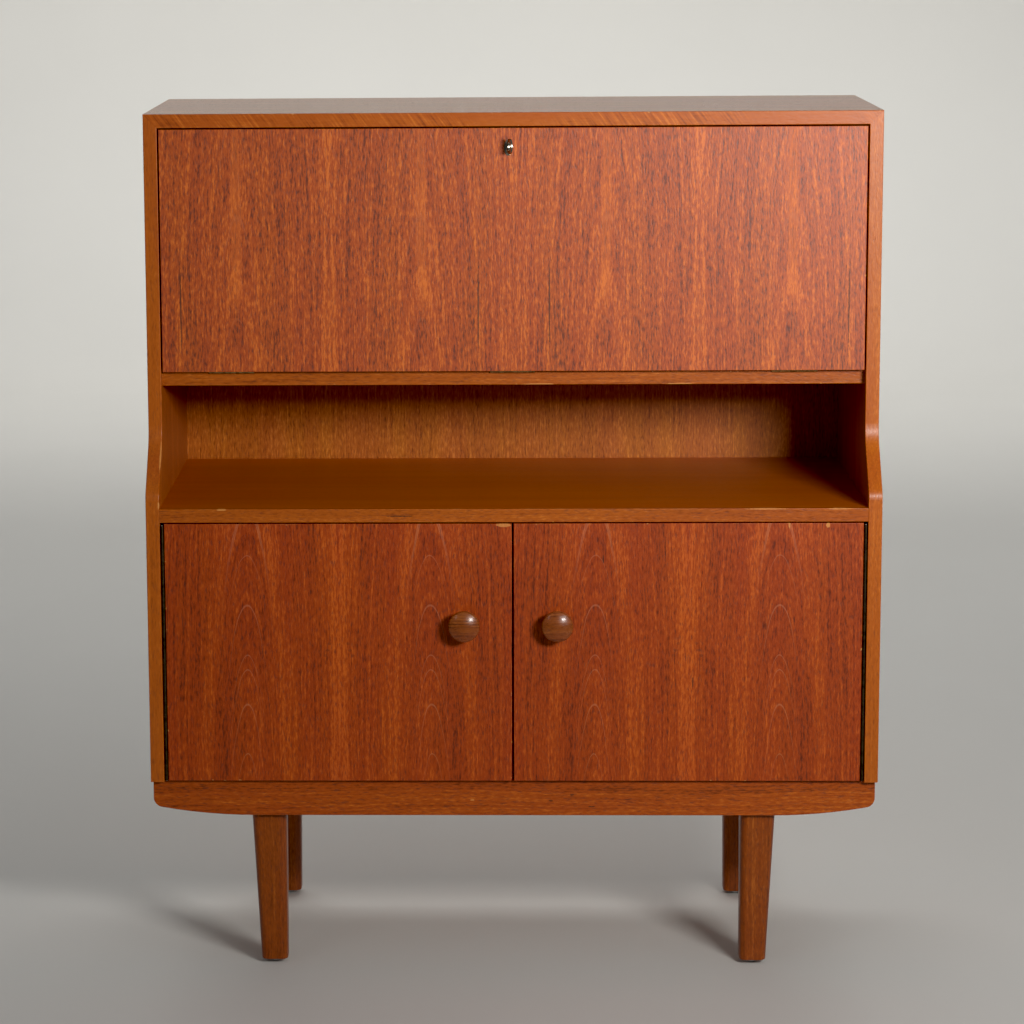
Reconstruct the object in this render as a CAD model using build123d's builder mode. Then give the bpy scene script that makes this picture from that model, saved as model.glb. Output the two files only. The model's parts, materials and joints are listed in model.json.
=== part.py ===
from build123d import *
import math
import os

# Secretary desk: a stepped case with a fall flap above, an open niche, and a two-door cabinet below.
# Millimetres, +Z up, front towards -Y, origin on the floor below the middle of the whole desk.

# ---- driving dimensions -------------------------------------------------------------------------
CASE_WIDTH = 960.0
CASE_DEPTH = 425.0
TOP_Z = 1138.0
KNOB_REACH = 30.0          # the knobs stand this far in front of the lower case
BOARD = 18.0               # thickness of every case board
LIPPING = 6.0              # solid front edge of every case board
UPPER_SETBACK = 58.0       # the upper case stands this far behind the lower case
WRITING_Z = 798.0          # top of the board that the flap lies level with
NICHE_SHELF_Z = 627.0      # top of the niche shelf
CASE_BOTTOM_Z = 260.0
BASE_BOTTOM_Z = 212.0
STEP_LOWER_Z = 645.0       # corners of the stepped front edge, before they are rounded
STEP_UPPER_Z = 712.5
STEP_LOWER_RADIUS = 20.0
STEP_UPPER_RADIUS = 45.0
BACK_BOARD = 6.0
BACK_REBATE = 8.0
EDGE_BREAK = 1.0           # rounding of the sharp front edges
VENEER_EDGE_BREAK = 0.8    # rounding of the doors', flap's and drawers' edges
FACES_FORWARD = -0.3       # the front edge's faces all have a normal with less than this along Y

DOOR_BOARD = 16.0
DOOR_SETBACK = 1.8         # the doors' faces lie this far behind the case front
DOOR_GAP = 2.0
DOOR_SILL_GAP = 1.5        # between the doors and the base rail
SEAM_GAP = 2.4
HINGE_OFFSET = 2.8         # door hinge axis from the case side and from the door's edge
KNUCKLE_RADIUS = 2.5
HINGE_LEAF = 1.2
HINGE_LEAF_WIDTH = 14.0
HINGE_KNUCKLES = 19
HINGE_SCREWS = 6
HINGE_SCREW_INSET = 5.0    # from the leaf's far edge
HINGE_END = 2.0            # the leaves and knuckles stop short of the doors' ends
HINGE_PIN_END = 1.4
KNUCKLE_GAP = 0.3
KNUCKLE_CLEARANCE = 0.4    # cut around the knuckles of every hinge
DOOR_STOP_GAP = 1.2        # between the closed doors and the cabinet's bottom board
KNOB_RADIUS = 20.7
KNOB_Z = 474.5
KNOB_OFFSETS = {-1: -64.0, 1: 58.0}    # from the middle seam, left door and right door

FLAP_GAP = 2.0
FLAP_BOARD = 16.0
FLAP_HINGE_LENGTH = 60.0
FLAP_HINGE_WIDTH = 20.0
FLAP_KNUCKLE_RADIUS = 2.6
FLAP_PIN_RADIUS = 1.1
FLAP_KNUCKLE_ROOM = FLAP_KNUCKLE_RADIUS + KNUCKLE_CLEARANCE
FLAP_HINGES_X = (-370.0, 0.0, 370.0)
FLAP_SCREW_PITCH = 20.0
FLAP_SCREW_INSET = 13.0    # from the hinge line
FLAP_KNUCKLE_GAP = 0.3

LOCK_X = -5.0
LOCK_Z = 1095.0
LOCK_HALF = 26.0
LOCK_RECESS = 6.0          # behind the flap's face
LOCK_BOTTOM_Z = 1072.0
LOCK_SCREW_SPREAD = 20.0
LOCK_SCREW_RISE = 10.0
STRIKE_RECESS = (8.0, 17.0)
STRIKE_PLATE = 1.2
STRIKE_SLOT_HALF = 12.0
STRIKE_SLOT_CLEARANCE = 0.6
BOLT_BOTTOM_Z = 1085.0
BOLT_POCKET = 9.0
BOLT_POCKET_CLEARANCE = 1.0
BOLT_TRAVEL_ROOM = 0.4     # the withdrawn bolt lies this far below the flap's top edge
BOLT_CORNER = 2.0
BOLT_DEPTHS = (5.2, 2.2)   # the bolt's faces in front of the flap's inner face
KEYHOLE_RADIUS = 3.4
KEYHOLE_HALF = 1.8
KEYHOLE_DROP = 9.0
ESCUTCHEON_RADII = (5.2, 10.5)
ESCUTCHEON_DROP = 2.5
ESCUTCHEON_SUNK = 1.0
ESCUTCHEON_PROUD = 0.4
STAY_HEIGHT = 150.0        # flap pivot of the stay above the flap's hinge line
STAY_OFFSET = 14.0         # and behind the flap's inner face
STAY_PIVOT_ANGLE = 140.0   # direction of the case pivot seen from the hinge line, 0 is forward
STAY_INSET = 10.0          # stay's middle plane from the case side
ROD_RADIUS = 3.0
SWIVEL_CLEARANCE = 0.05

LEG_TOP = 46.0
LEG_FOOT = 35.0
LEG_SPREAD = 320.5         # glides from the middle plane
FRONT_GLIDE_DEPTH = 49.0   # glides behind the lower case front
REAR_GLIDE_DEPTH = 375.0
LEG_SHIFT = 4.5            # the outer faces taper, so the leg's top centre lies further out
GLIDE_HEIGHT = 6.0

# ---- worked out from the driving dimensions -----------------------------------------------------
FRONT = (KNOB_REACH - CASE_DEPTH) / 2
BACK = FRONT + CASE_DEPTH
UPPER_FRONT = FRONT + UPPER_SETBACK
OUTER_X = CASE_WIDTH / 2
INNER_X = OUTER_X - BOARD
BACK_INNER = BACK - BACK_BOARD
CEILING_Z = TOP_Z - BOARD
CABINET_TOP_Z = NICHE_SHELF_Z - BOARD
CABINET_FLOOR_Z = CASE_BOTTOM_Z + BOARD
FLAP_BOTTOM_Z = WRITING_Z + FLAP_GAP
FLAP_TOP_Z = CEILING_Z - FLAP_GAP
FLAP_INNER = UPPER_FRONT + FLAP_BOARD
DOOR_FRONT = FRONT + DOOR_SETBACK
DOOR_BACK = DOOR_FRONT + DOOR_BOARD
DOOR_TOP_Z = CABINET_TOP_Z - DOOR_GAP
DOOR_BOTTOM_Z = CASE_BOTTOM_Z + DOOR_SILL_GAP
DOOR_EDGE_X = INNER_X - 2 * HINGE_OFFSET
DOOR_AXIS_X = INNER_X - HINGE_OFFSET
DOOR_AXIS_Y = FRONT + HINGE_OFFSET

SIDES = {"left": -1, "right": 1}
SCREW_HEAD_RADIUS = 2.3
SCREW_SHANK_RADIUS = 1.1
SCREW_LENGTH = 10.0
HALF_SINK_ANGLE = 41.0
BOTTOM = (Align.CENTER, Align.CENTER, Align.MIN)
TOP = (Align.CENTER, Align.CENTER, Align.MAX)

os.makedirs("parts", exist_ok=True)


def save(piece, name):
    """Label a finished piece and write it under its node name."""
    piece.part.label = name
    export_step(piece.part, f"parts/{name}.step")


def block(x_range, y_range, z_range, mode=Mode.ADD):
    """A box between two values along each axis, in the active part."""
    centre = tuple((low + high) / 2 for low, high in (x_range, y_range, z_range))
    size = [high - low for low, high in (x_range, y_range, z_range)]
    with Locations(centre):
        Box(*size, mode=mode)


def mirrored(side, near, far):
    """The x range between two distances from the middle plane, on one side of it."""
    return tuple(sorted((side * near, side * far)))


def rod(start, direction, radius, length, mode=Mode.ADD):
    """A round bar from a point along a direction."""
    with Locations(Plane(start, z_dir=direction)):
        Cylinder(radius, length, align=BOTTOM, mode=mode)


def sink_screws(places):
    """Countersunk holes in the active part, going in from each place's plane."""
    with Locations(*places):
        CounterSinkHole(SCREW_SHANK_RADIUS, SCREW_HEAD_RADIUS, SCREW_LENGTH)


def drive_screws(places):
    """Countersunk screws that fill the holes of sink_screws."""
    with Locations(*places):
        Cylinder(SCREW_SHANK_RADIUS, SCREW_LENGTH, align=TOP)
        Cone(0, SCREW_HEAD_RADIUS, SCREW_HEAD_RADIUS / math.tan(math.radians(HALF_SINK_ANGLE)), align=TOP)


# ---- places that several pieces share -----------------------------------------------------------
def hinge_screw_heights():
    """Heights of the screws along one continuous hinge."""
    pitch = (DOOR_TOP_Z - CASE_BOTTOM_Z) / HINGE_SCREWS
    return [CASE_BOTTOM_Z + pitch * (row + 0.5) for row in range(HINGE_SCREWS)]


def case_leaf_screws(side):
    """Planes of the screws through the fixed leaf of a door hinge."""
    face = side * (INNER_X - HINGE_LEAF)
    depth = DOOR_AXIS_Y + HINGE_LEAF_WIDTH - HINGE_SCREW_INSET
    return [Plane((face, depth, z), z_dir=(-side, 0, 0)) for z in hinge_screw_heights()]


def door_leaf_screws(side):
    """Planes of the screws through the moving leaf of a door hinge."""
    face = side * (DOOR_EDGE_X + HINGE_LEAF)
    depth = DOOR_AXIS_Y + HINGE_LEAF_WIDTH - HINGE_SCREW_INSET
    return [Plane((face, depth, z), z_dir=(side, 0, 0)) for z in hinge_screw_heights()]


def flap_hinge_screws(height, depth, normal):
    """Planes of three screws along each flap hinge."""
    spots = [x + shift for x in FLAP_HINGES_X for shift in (-FLAP_SCREW_PITCH, 0, FLAP_SCREW_PITCH)]
    return [Plane((x, depth, height), z_dir=normal) for x in spots]


FLOOR_LEAF_SCREWS = flap_hinge_screws(WRITING_Z, FLAP_INNER + FLAP_SCREW_INSET, (0, 0, 1))
FLAP_LEAF_SCREWS = flap_hinge_screws(WRITING_Z + FLAP_SCREW_INSET, FLAP_INNER, (0, 1, 0))

STAY_RADIUS = math.hypot(STAY_OFFSET, STAY_HEIGHT)
STAY_FLAP_ANGLE = 90 + math.degrees(math.atan2(STAY_OFFSET, STAY_HEIGHT))
STAY_X = INNER_X - STAY_INSET
STAY_FLAP_PIVOT = (FLAP_INNER + STAY_OFFSET, WRITING_Z + STAY_HEIGHT)
STAY_CASE_PIVOT = (
    FLAP_INNER - STAY_RADIUS * math.cos(math.radians(STAY_PIVOT_ANGLE)),
    WRITING_Z + STAY_RADIUS * math.sin(math.radians(STAY_PIVOT_ANGLE)),
)
PIVOT_PLATE = 3.0
PIVOT_PLATE_RADIUS = 12.0
PIVOT_SCREW_SPREAD = 8.0
GUIDE_HALF = 6.4
BRACKET_PLATE = 2.0
BRACKET_WIDTH = 11.0       # from the stay's middle plane to the bracket's far edge
BRACKET_HALF_HEIGHT = 20.0
BRACKET_SCREW_INSET = 7.0
BRACKET_SCREW_SPREAD = 14.0


def pivot_plate_screws(side):
    """Planes of the two screws of a stay's pivot plate."""
    face = side * (INNER_X - PIVOT_PLATE)
    depth, height = STAY_CASE_PIVOT
    spread = PIVOT_SCREW_SPREAD
    return [Plane((face, depth, height + shift), z_dir=(-side, 0, 0)) for shift in (-spread, spread)]


def bracket_screws(side):
    """Planes of the two screws of a stay's flap bracket."""
    height = WRITING_Z + STAY_HEIGHT
    spot = side * (STAY_X - BRACKET_SCREW_INSET)
    face = FLAP_INNER + BRACKET_PLATE
    spread = BRACKET_SCREW_SPREAD
    return [Plane((spot, face, height + shift), z_dir=(0, 1, 0)) for shift in (-spread, spread)]


LOCK_WIDTH = (LOCK_X - LOCK_HALF, LOCK_X + LOCK_HALF)
LOCK_BODY = (LOCK_WIDTH, (UPPER_FRONT + LOCK_RECESS, FLAP_INNER), (LOCK_BOTTOM_Z, FLAP_TOP_Z))
LOCK_SCREWS_X = (LOCK_X - LOCK_SCREW_SPREAD, LOCK_X + LOCK_SCREW_SPREAD)
LOCK_SCREWS_Z = LOCK_BOTTOM_Z + LOCK_SCREW_RISE
LOCK_SCREWS = [Plane((x, FLAP_INNER, LOCK_SCREWS_Z), z_dir=(0, 1, 0)) for x in LOCK_SCREWS_X]
STRIKE_Y = tuple(UPPER_FRONT + depth for depth in STRIKE_RECESS)
STRIKE_SCREWS = [Plane((x, sum(STRIKE_Y) / 2, CEILING_Z), z_dir=(0, 0, -1)) for x in LOCK_SCREWS_X]
KEYHOLE_X = (LOCK_X - KEYHOLE_HALF, LOCK_X + KEYHOLE_HALF)
ESCUTCHEON_PLACE = Plane((LOCK_X, UPPER_FRONT, LOCK_Z - ESCUTCHEON_DROP), x_dir=(1, 0, 0), z_dir=(0, -1, 0))
BOLT_Y = tuple(FLAP_INNER - depth for depth in BOLT_DEPTHS)
BOLT_HALF = 11.0
BOLT_CLEARANCE = 0.3

SHELF_PIN_RADIUS = 2.5
SHELF_PIN_PITCH = 32.0
SHELF_PIN_HOLES = 2        # spare holes above and below the one in use
SHELF_PIN_HOLE = 9.0
SHELF_PIN_LENGTH = 20.0
SHELF_Z = 430.0
SHELF_BOARD = 16.0
SHELF_SETBACK = 45.0
SHELF_END_GAP = 0.5
SHELF_BACK_GAP = 2.0
SHELF_PIN_Z = SHELF_Z - SHELF_PIN_RADIUS
SHELF_PIN_FROM_FRONT = 90.0
SHELF_PIN_FROM_BACK = 70.0
SHELF_PIN_DEPTHS = (FRONT + SHELF_PIN_FROM_FRONT, BACK - SHELF_PIN_FROM_BACK)

GLIDE_DEPTHS = {"front": FRONT + FRONT_GLIDE_DEPTH, "rear": FRONT + REAR_GLIDE_DEPTH}
OUTWARD = {"front": -1, "rear": 1}
LEG_BOLT_RADIUS = 4.0
LEG_BOLT_DOWN = 40.0
LEG_BOLT_UP = 30.0


def leg_top_centre(side, end):
    """Centre of a leg's top face in plan."""
    return side * (LEG_SPREAD + LEG_SHIFT), GLIDE_DEPTHS[end] + OUTWARD[end] * LEG_SHIFT


# ---- case boards --------------------------------------------------------------------------------
def side_outline(inset):
    """Side view of a case side whose front edge lies an inset behind the finished one."""
    lower = FRONT + inset
    upper = UPPER_FRONT + inset
    FilletPolyline(
        (lower, CASE_BOTTOM_Z), (lower, STEP_LOWER_Z), (upper, STEP_UPPER_Z), (upper, TOP_Z),
        radius=[STEP_LOWER_RADIUS, STEP_UPPER_RADIUS],
    )
    Polyline((upper, TOP_Z), (BACK, TOP_Z), (BACK, CASE_BOTTOM_Z), (lower, CASE_BOTTOM_Z))


def mitre(side):
    """Plane of the mitre at one top corner; the top board lies on its upper side."""
    return Plane((side * OUTER_X, 0, TOP_Z), z_dir=(-side, 0, 1))


for name, side in SIDES.items():
    with BuildPart() as case_side:
        with BuildSketch(Plane.YZ.offset(side * OUTER_X)):
            with BuildLine():
                side_outline(LIPPING)
            make_face()
        extrude(amount=-side * BOARD)
        split(bisect_by=mitre(side), keep=Keep.BOTTOM)
        block(mirrored(side, INNER_X, INNER_X + BACK_REBATE), (BACK_INNER, BACK),
              (CASE_BOTTOM_Z, CEILING_Z + BACK_REBATE), mode=Mode.SUBTRACT)
        for depth in SHELF_PIN_DEPTHS:
            for step in range(-SHELF_PIN_HOLES, SHELF_PIN_HOLES + 1):
                rod((side * INNER_X, depth, SHELF_PIN_Z + step * SHELF_PIN_PITCH), (side, 0, 0),
                    SHELF_PIN_RADIUS, SHELF_PIN_HOLE, mode=Mode.SUBTRACT)
        sink_screws(case_leaf_screws(side))
        sink_screws(pivot_plate_screws(side))
    save(case_side, f"{name}_side")

    with BuildPart() as side_lipping:
        with BuildSketch(Plane.YZ.offset(side * OUTER_X)):
            with BuildLine():
                side_outline(0)
            make_face()
            with BuildLine():
                side_outline(LIPPING)
            make_face(mode=Mode.SUBTRACT)
        extrude(amount=-side * BOARD)
        split(bisect_by=mitre(side), keep=Keep.BOTTOM)
        front_faces = [face for face in side_lipping.faces() if face.normal_at().Y < FACES_FORWARD]
        long_edges = {
            edge for face in front_faces for edge in face.edges()
            if min(abs(abs(edge.center().X) - x) for x in (OUTER_X, INNER_X)) < EDGE_BREAK
        }
        fillet(long_edges, EDGE_BREAK)
    save(side_lipping, f"{name}_lipping")

with BuildPart() as top_panel:
    block((-OUTER_X, OUTER_X), (UPPER_FRONT + LIPPING, BACK), (CEILING_Z, TOP_Z))
    for side in SIDES.values():
        split(bisect_by=mitre(side), keep=Keep.TOP)
    block((-INNER_X - BACK_REBATE, INNER_X + BACK_REBATE), (BACK_INNER, BACK),
          (CEILING_Z, CEILING_Z + BACK_REBATE), mode=Mode.SUBTRACT)
    block(LOCK_WIDTH, STRIKE_Y, (CEILING_Z, CEILING_Z + STRIKE_PLATE), mode=Mode.SUBTRACT)
    pocket_half = STRIKE_SLOT_HALF + BOLT_POCKET_CLEARANCE
    block((LOCK_X - pocket_half, LOCK_X + pocket_half),
          (BOLT_Y[0] - BOLT_POCKET_CLEARANCE, BOLT_Y[1] + BOLT_POCKET_CLEARANCE),
          (CEILING_Z, CEILING_Z + BOLT_POCKET), mode=Mode.SUBTRACT)
    sink_screws(STRIKE_SCREWS)
save(top_panel, "top_panel")

with BuildPart() as top_lipping:
    block((-OUTER_X, OUTER_X), (UPPER_FRONT, UPPER_FRONT + LIPPING), (CEILING_Z, TOP_Z))
    for side in SIDES.values():
        split(bisect_by=mitre(side), keep=Keep.TOP)
    fillet(top_lipping.faces().sort_by(Axis.Y)[0].edges().filter_by(Axis.X), EDGE_BREAK)
save(top_lipping, "top_lipping")


def inner_board(front, top_z):
    """A case board between the sides, from a front face back to the back panel."""
    block((-INNER_X, INNER_X), (front, BACK_INNER), (top_z - BOARD, top_z))


def inner_lipping(front, top_z):
    """The solid front edge of a board between the sides."""
    block((-INNER_X, INNER_X), (front, front + LIPPING), (top_z - BOARD, top_z))


def flap_hinge_width(x):
    """The x range of the flap hinge at one place."""
    return x - FLAP_HINGE_LENGTH / 2, x + FLAP_HINGE_LENGTH / 2


with BuildPart() as writing_floor:
    inner_board(FLAP_INNER + LIPPING, WRITING_Z)
    for x in FLAP_HINGES_X:
        block(flap_hinge_width(x), (FLAP_INNER, FLAP_INNER + FLAP_HINGE_WIDTH),
              (WRITING_Z - HINGE_LEAF, WRITING_Z), mode=Mode.SUBTRACT)
    sink_screws(FLOOR_LEAF_SCREWS)
save(writing_floor, "writing_floor")

with BuildPart() as floor_lipping:
    inner_lipping(FLAP_INNER, WRITING_Z)
    fillet(floor_lipping.faces().sort_by(Axis.Y)[0].edges().filter_by(Axis.X).sort_by(Axis.Z)[0], EDGE_BREAK)
    for x in FLAP_HINGES_X:
        block(flap_hinge_width(x), (FLAP_INNER, FLAP_INNER + LIPPING),
              (WRITING_Z - HINGE_LEAF, WRITING_Z), mode=Mode.SUBTRACT)
        rod((x - FLAP_HINGE_LENGTH / 2, FLAP_INNER, WRITING_Z), (1, 0, 0), FLAP_KNUCKLE_ROOM,
            FLAP_HINGE_LENGTH, mode=Mode.SUBTRACT)
save(floor_lipping, "floor_lipping")

with BuildPart() as niche_shelf:
    inner_board(FRONT + LIPPING, NICHE_SHELF_Z)
save(niche_shelf, "niche_shelf")

with BuildPart() as shelf_lipping:
    inner_lipping(FRONT, NICHE_SHELF_Z)
    fillet(shelf_lipping.faces().sort_by(Axis.Y)[0].edges().filter_by(Axis.X), EDGE_BREAK)
save(shelf_lipping, "shelf_lipping")

with BuildPart() as cabinet_bottom:
    inner_board(DOOR_BACK + DOOR_STOP_GAP, CABINET_FLOOR_Z)
save(cabinet_bottom, "cabinet_bottom")

with BuildPart() as back_panel:
    block((-INNER_X - BACK_REBATE, INNER_X + BACK_REBATE), (BACK_INNER, BACK),
          (CASE_BOTTOM_Z, CEILING_Z + BACK_REBATE))
save(back_panel, "back_panel")

with BuildPart() as cabinet_shelf:
    block((SHELF_END_GAP - INNER_X, INNER_X - SHELF_END_GAP),
          (FRONT + SHELF_SETBACK, BACK_INNER - SHELF_BACK_GAP), (SHELF_Z, SHELF_Z + SHELF_BOARD))
    fillet(cabinet_shelf.faces().sort_by(Axis.Y)[0].edges().filter_by(Axis.X), EDGE_BREAK)
save(cabinet_shelf, "cabinet_shelf")

with BuildPart() as shelf_pins:
    for side in SIDES.values():
        for depth in SHELF_PIN_DEPTHS:
            rod((side * (INNER_X + SHELF_PIN_HOLE), depth, SHELF_PIN_Z), (-side, 0, 0),
                SHELF_PIN_RADIUS, SHELF_PIN_LENGTH)
save(shelf_pins, "shelf_pins")

# ---- base and legs ------------------------------------------------------------------------------
RAIL_RECESS = 11.0
RAIL_INSET = 2.3
RAIL_BOARD = 18.0
END_RAIL_HEIGHT = 24.0
END_RAIL_BOARD = 16.0
RAIL_CORNER_RADIUS = 13.0
RAIL_SWEEP = 135.0         # length of the gentle curve at each end of a rail's lower edge
RAIL_SWEEP_RISE = 13.0
REAR_RAIL_RECESS = 4.0
BEARER_HALF = 30.0
RAIL_END_X = OUTER_X - RAIL_INSET
FRONT_RAIL = (FRONT + RAIL_RECESS, FRONT + RAIL_RECESS + RAIL_BOARD)
REAR_RAIL = (BACK - REAR_RAIL_RECESS - RAIL_BOARD, BACK - REAR_RAIL_RECESS)


def rail_profile():
    """Half of a base rail seen from the front: flat, then a gentle curve up to a rounded end."""
    sweep_radius = (RAIL_SWEEP ** 2 + RAIL_SWEEP_RISE ** 2) / (2 * RAIL_SWEEP_RISE)
    flat_end = RAIL_END_X - RAIL_SWEEP
    half_turn = math.asin(RAIL_SWEEP / sweep_radius) / 2
    middle = (
        flat_end + sweep_radius * math.sin(half_turn),
        BASE_BOTTOM_Z + sweep_radius * (1 - math.cos(half_turn)),
    )
    Line((0, BASE_BOTTOM_Z), (flat_end, BASE_BOTTOM_Z))
    ThreePointArc((flat_end, BASE_BOTTOM_Z), middle, (RAIL_END_X, BASE_BOTTOM_Z + RAIL_SWEEP_RISE))
    Polyline((RAIL_END_X, BASE_BOTTOM_Z + RAIL_SWEEP_RISE), (RAIL_END_X, CASE_BOTTOM_Z), (0, CASE_BOTTOM_Z),
             (0, BASE_BOTTOM_Z))


for name, (rail_front, rail_back) in {"front_base_rail": FRONT_RAIL, "rear_base_rail": REAR_RAIL}.items():
    with BuildPart() as rail:
        with BuildSketch(Plane.XZ.offset(-rail_front)):
            with BuildLine():
                rail_profile()
            make_face()
            mirror(about=Plane.YZ)
        extrude(amount=rail_front - rail_back)
        end_faces = rail.faces().filter_by(Axis.X).group_by(SortBy.AREA)[-1]
        lower_corners = [face.edges().filter_by(Axis.Y).sort_by(Axis.Z)[0] for face in end_faces]
        fillet(lower_corners, RAIL_CORNER_RADIUS)
        front_face = rail.faces().filter_by(Axis.Y).sort_by(Axis.Y)[0 if rail_front == FRONT_RAIL[0] else -1]
        lower_edges = [edge for edge in front_face.edges() if edge.center().Z < CASE_BOTTOM_Z - EDGE_BREAK]
        fillet(lower_edges, EDGE_BREAK)
    save(rail, name)

with BuildPart() as base_end_rails:
    for side in SIDES.values():
        block(mirrored(side, RAIL_END_X - END_RAIL_BOARD, RAIL_END_X), (FRONT_RAIL[1], REAR_RAIL[0]),
              (CASE_BOTTOM_Z - END_RAIL_HEIGHT, CASE_BOTTOM_Z))
save(base_end_rails, "base_end_rails")

with BuildPart() as leg_bearers:
    for side in SIDES.values():
        middle = LEG_SPREAD + LEG_SHIFT
        block(mirrored(side, middle - BEARER_HALF, middle + BEARER_HALF), (FRONT_RAIL[1], REAR_RAIL[0]),
              (BASE_BOTTOM_Z, CASE_BOTTOM_Z))
        for end in GLIDE_DEPTHS:
            x, y = leg_top_centre(side, end)
            rod((x, y, BASE_BOTTOM_Z), (0, 0, 1), LEG_BOLT_RADIUS, LEG_BOLT_UP, mode=Mode.SUBTRACT)
save(leg_bearers, "leg_bearers")

LEG_TOP_CORNER = 11.0
LEG_FOOT_CORNER = 9.0
GLIDE_RADIUS = 8.25
GLIDE_FLAT_RADIUS = 3.5
GLIDE_RIM_Z = 4.4
GLIDE_DOME = (6.9, 1.7)        # a point of the glide's domed edge: radius, and height
NAIL_RADIUS = 1.2
NAIL_LENGTH = 14.0

for end in GLIDE_DEPTHS:
    for name, side in SIDES.items():
        top_x, top_y = leg_top_centre(side, end)
        foot_x = side * LEG_SPREAD
        foot_y = GLIDE_DEPTHS[end]
        with BuildPart() as leg:
            with BuildSketch(Plane((foot_x, foot_y, GLIDE_HEIGHT))):
                RectangleRounded(LEG_FOOT, LEG_FOOT, LEG_FOOT_CORNER)
            with BuildSketch(Plane((top_x, top_y, BASE_BOTTOM_Z))):
                RectangleRounded(LEG_TOP, LEG_TOP, LEG_TOP_CORNER)
            loft()
            fillet(leg.faces().sort_by(Axis.Z)[0].edges(), 2 * EDGE_BREAK)
            rod((top_x, top_y, BASE_BOTTOM_Z), (0, 0, -1), LEG_BOLT_RADIUS, LEG_BOLT_DOWN, mode=Mode.SUBTRACT)
            rod((foot_x, foot_y, GLIDE_HEIGHT), (0, 0, 1), NAIL_RADIUS, NAIL_LENGTH, mode=Mode.SUBTRACT)
        save(leg, f"{end}_{name}_leg")

LEG_PLACES = [(side, end) for end in GLIDE_DEPTHS for side in SIDES.values()]

with BuildPart() as leg_bolts:
    for side, end in LEG_PLACES:
        x, y = leg_top_centre(side, end)
        rod((x, y, BASE_BOTTOM_Z - LEG_BOLT_DOWN), (0, 0, 1), LEG_BOLT_RADIUS, LEG_BOLT_DOWN + LEG_BOLT_UP)
save(leg_bolts, "leg_bolts")

with BuildPart() as leg_glides:
    for side, end in LEG_PLACES:
        with BuildSketch(Plane((side * LEG_SPREAD, GLIDE_DEPTHS[end], 0), x_dir=(1, 0, 0), z_dir=(0, -1, 0))):
            with BuildLine():
                Polyline((GLIDE_RADIUS, GLIDE_RIM_Z), (GLIDE_RADIUS, GLIDE_HEIGHT),
                         (NAIL_RADIUS, GLIDE_HEIGHT), (NAIL_RADIUS, GLIDE_HEIGHT + NAIL_LENGTH),
                         (0, GLIDE_HEIGHT + NAIL_LENGTH), (0, 0), (GLIDE_FLAT_RADIUS, 0))
                ThreePointArc((GLIDE_FLAT_RADIUS, 0), GLIDE_DOME, (GLIDE_RADIUS, GLIDE_RIM_Z))
            make_face()
        revolve(axis=Axis((side * LEG_SPREAD, GLIDE_DEPTHS[end], 0), (0, 0, 1)))
save(leg_glides, "leg_glides")

# ---- doors --------------------------------------------------------------------------------------
KNOB_SCREW_RADIUS = 2.0
KNOB_SCREW_HEAD = 4.2
KNOB_SCREW_LENGTH = 28.0
KNOB_LENGTH = KNOB_REACH + DOOR_SETBACK
KNOB_FOOT_RADIUS = 10.0
KNOB_WAIST = (8.8, -9.0)       # points of the knob's outline: radius, and distance from the door
KNOB_SHOULDER = (17.0, -18.6)
KNOB_FLARE = (19.9, -20.6)
KNOB_RIM_ROUNDING = 3.8
KNOB_CAP_SLOPE = 31.0          # degrees, where the shallow cap runs into the rim's rounding
CATCH_X = 70.0
CATCH_PLATE = 1.2
CATCH_PLATE_HALF = 18.0
CATCH_PLATE_DROP = (4.0, 20.0)     # its upper and lower edges below the door's top
CATCH_PLATE_CORNER = 3.0
CATCH_SCREW_SPREAD = 11.0
CATCH_CLEARANCE = 0.4
CATCH_HALF = 22.0
CATCH_DEPTH = 16.0
CATCH_HEIGHT = 14.0
CATCH_CORNER = 2.0


def knob_screw_place(side):
    """Plane of the screw that holds a knob, on the door's inner face."""
    return Plane((KNOB_OFFSETS[side], DOOR_BACK, KNOB_Z), z_dir=(0, 1, 0))


def catch_plate_screws(side):
    """Planes of the two screws of a door's catch plate."""
    spots = (side * CATCH_X - CATCH_SCREW_SPREAD, side * CATCH_X + CATCH_SCREW_SPREAD)
    height = DOOR_TOP_Z - sum(CATCH_PLATE_DROP) / 2
    return [Plane((x, DOOR_BACK + CATCH_PLATE, height), z_dir=(0, 1, 0)) for x in spots]


def knob_profile():
    """Half of a knob cut down its axis: foot, waist, flare, rounded rim and shallow cap."""
    slope = math.radians(KNOB_CAP_SLOPE)
    half_rim = (math.pi / 2 - slope) / 2
    cap_edge = KNOB_RADIUS - KNOB_RIM_ROUNDING * (1 - math.sin(slope))
    cap_radius = cap_edge / math.sin(slope)
    cap_start = cap_radius * (1 - math.cos(slope)) - KNOB_LENGTH
    rim = cap_start + KNOB_RIM_ROUNDING * math.cos(slope)
    cap_middle = (cap_radius * math.sin(slope / 2), cap_radius * (1 - math.cos(slope / 2)) - KNOB_LENGTH)
    rim_middle = (
        KNOB_RADIUS - KNOB_RIM_ROUNDING * (1 - math.cos(half_rim)),
        rim - KNOB_RIM_ROUNDING * math.sin(half_rim),
    )
    Polyline((0, -KNOB_LENGTH), (0, 0), (KNOB_FOOT_RADIUS, 0))
    ThreePointArc((KNOB_FOOT_RADIUS, 0), KNOB_WAIST, KNOB_SHOULDER)
    ThreePointArc(KNOB_SHOULDER, KNOB_FLARE, (KNOB_RADIUS, rim))
    ThreePointArc((KNOB_RADIUS, rim), rim_middle, (cap_edge, cap_start))
    ThreePointArc((cap_edge, cap_start), cap_middle, (0, -KNOB_LENGTH))


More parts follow.
